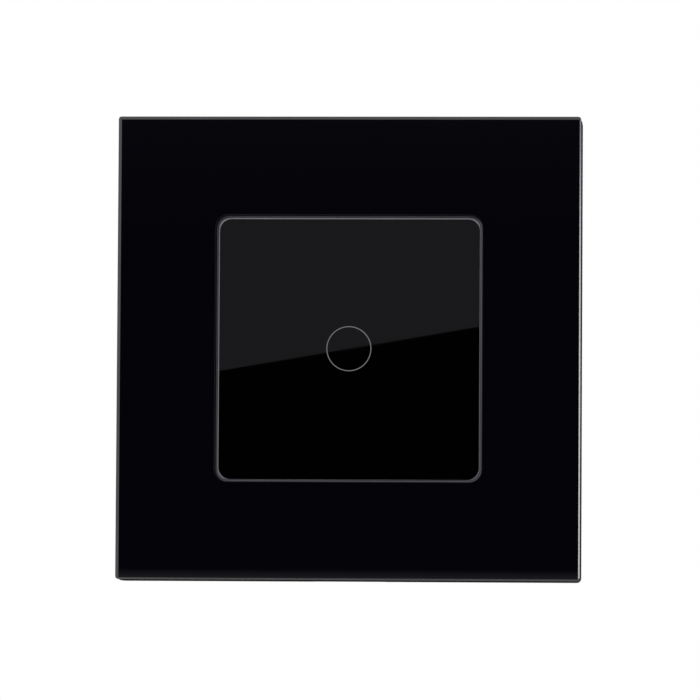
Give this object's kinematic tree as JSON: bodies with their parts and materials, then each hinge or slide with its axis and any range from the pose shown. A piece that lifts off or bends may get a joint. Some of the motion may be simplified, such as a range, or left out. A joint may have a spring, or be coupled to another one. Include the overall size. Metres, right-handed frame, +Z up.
{
  "type": "touch light switch",
  "caption": "Square black glass touch light switch with a set-back touch plate and ring mark, on a flush-box insert with relay and screw terminals.",
  "frame": {"origin": "centre of the box screw pattern, on the wall plane at the back of the support plate", "axes": "+Z up, +X to the right seen from the front, and the glass face looks towards -Y"},
  "size_m": [0.08, 0.037, 0.08],
  "materials": {
    "black_glass": "polished, back-painted black",
    "grey_print": "fine printed line",
    "adhesive": "foam tape",
    "dark_plastic": "fine satin",
    "clear_plastic": "clear moulded",
    "spring_steel": "bright wire",
    "green_board": "solder mask",
    "chip_black": "moulded",
    "led_white": "moulded lens",
    "black_plastic": "moulded",
    "zinc_steel": "galvanised",
    "grey_plastic": "fine texture",
    "brown_board": "bare laminate",
    "gold_pins": "plated",
    "blue_plastic": "moulded",
    "iron": "bright",
    "natural_plastic": "moulded",
    "copper": "enamelled wire",
    "bronze": "rolled strip",
    "silver": "turned",
    "yellow_plastic": "moulded box",
    "can_sleeve": "shrunk sleeve",
    "fuse_ceramic": "ceramic",
    "green_plastic": "moulded",
    "brass": "pressed"
  },
  "bodies": {
    "insert": {"inner_cover": "dark_plastic", "rectifier": "chip_black", "converter_chip": "chip_black", "inductor": "chip_black", "header_strip": "black_plastic", "support_plate": "zinc_steel", "cover_screws": "zinc_steel", "housing": "grey_plastic", "power_board": "brown_board", "header_pins": "gold_pins", "relay_base": "blue_plastic", "relay_case": "blue_plastic", "varistor": "blue_plastic", "relay_yoke": "iron", "relay_core": "iron", "relay_bobbin": "natural_plastic", "relay_winding": "copper", "return_leaf": "bronze", "fixed_contact": "bronze", "film_capacitor": "yellow_plastic", "smoothing_capacitor": "can_sleeve", "fuse": "fuse_ceramic", "terminal_body_1": "green_plastic", "terminal_body_2": "green_plastic", "terminal_body_3": "green_plastic", "terminal_bar_1": "brass", "terminal_bar_2": "brass", "terminal_bar_3": "brass"},
    "frame": {"glass_frame": "black_glass", "frame_tape": "adhesive", "frame_carrier": "dark_plastic"},
    "touch_unit": {"touch_plate": "black_glass", "ring_mark": "grey_print", "plate_tape": "adhesive", "bezel": "dark_plastic", "light_guide": "clear_plastic", "touch_spring": "spring_steel", "touch_board": "green_board", "touch_chip": "chip_black", "indicator_leds": "led_white", "header_socket": "black_plastic", "board_screws": "zinc_steel"},
    "armature": {"relay_armature": "iron", "contact_leaf": "bronze", "moving_contact": "silver"},
    "screw_1": {"terminal_screw_1": "zinc_steel"},
    "clamp_1": {"terminal_clamp_1": "zinc_steel"},
    "screw_2": {"terminal_screw_2": "zinc_steel"},
    "clamp_2": {"terminal_clamp_2": "zinc_steel"},
    "screw_3": {"terminal_screw_3": "zinc_steel"},
    "clamp_3": {"terminal_clamp_3": "zinc_steel"}
  },
  "joints": [
    {"name": "frame_pull", "type": "slide", "parent": "insert", "child": "frame", "axis": [0, -1, 0], "range_m": [0, 0.025]},
    {"name": "touch_unit_pull", "type": "slide", "parent": "insert", "child": "touch_unit", "axis": [0, -1, 0], "range_m": [0, 0.03]},
    {"name": "armature_tilt", "type": "hinge", "parent": "insert", "child": "armature", "pos_m": [-0.0156, 0.0152, -0.002], "axis": [0, 0, -1], "range_deg": [0, 3.4], "stiffness_Nm_per_rad": 0.01},
    {"name": "screw_1_turn", "type": "hinge", "parent": "insert", "child": "screw_1", "pos_m": [-0.0092, 0.02, -0.0165], "axis": [0, -1, 0], "range_deg": [0, 2170]},
    {"name": "clamp_1_rise", "type": "slide", "parent": "insert", "child": "clamp_1", "axis": [0, 1, 0], "range_m": [0, 0.003]},
    {"name": "screw_2_turn", "type": "hinge", "parent": "insert", "child": "screw_2", "pos_m": [0, 0.02, -0.0165], "axis": [0, -1, 0], "range_deg": [0, 2170]},
    {"name": "clamp_2_rise", "type": "slide", "parent": "insert", "child": "clamp_2", "axis": [0, 1, 0], "range_m": [0, 0.003]},
    {"name": "screw_3_turn", "type": "hinge", "parent": "insert", "child": "screw_3", "pos_m": [0.0092, 0.02, -0.0165], "axis": [0, -1, 0], "range_deg": [0, 2170]},
    {"name": "clamp_3_rise", "type": "slide", "parent": "insert", "child": "clamp_3", "axis": [0, 1, 0], "range_m": [0, 0.003]}
  ],
  "couplings": [
    {"joint": "screw_1_turn", "follows": "clamp_1_rise", "rad_per_m": 12566},
    {"joint": "screw_2_turn", "follows": "clamp_2_rise", "rad_per_m": 12566},
    {"joint": "screw_3_turn", "follows": "clamp_3_rise", "rad_per_m": 12566}
  ]
}
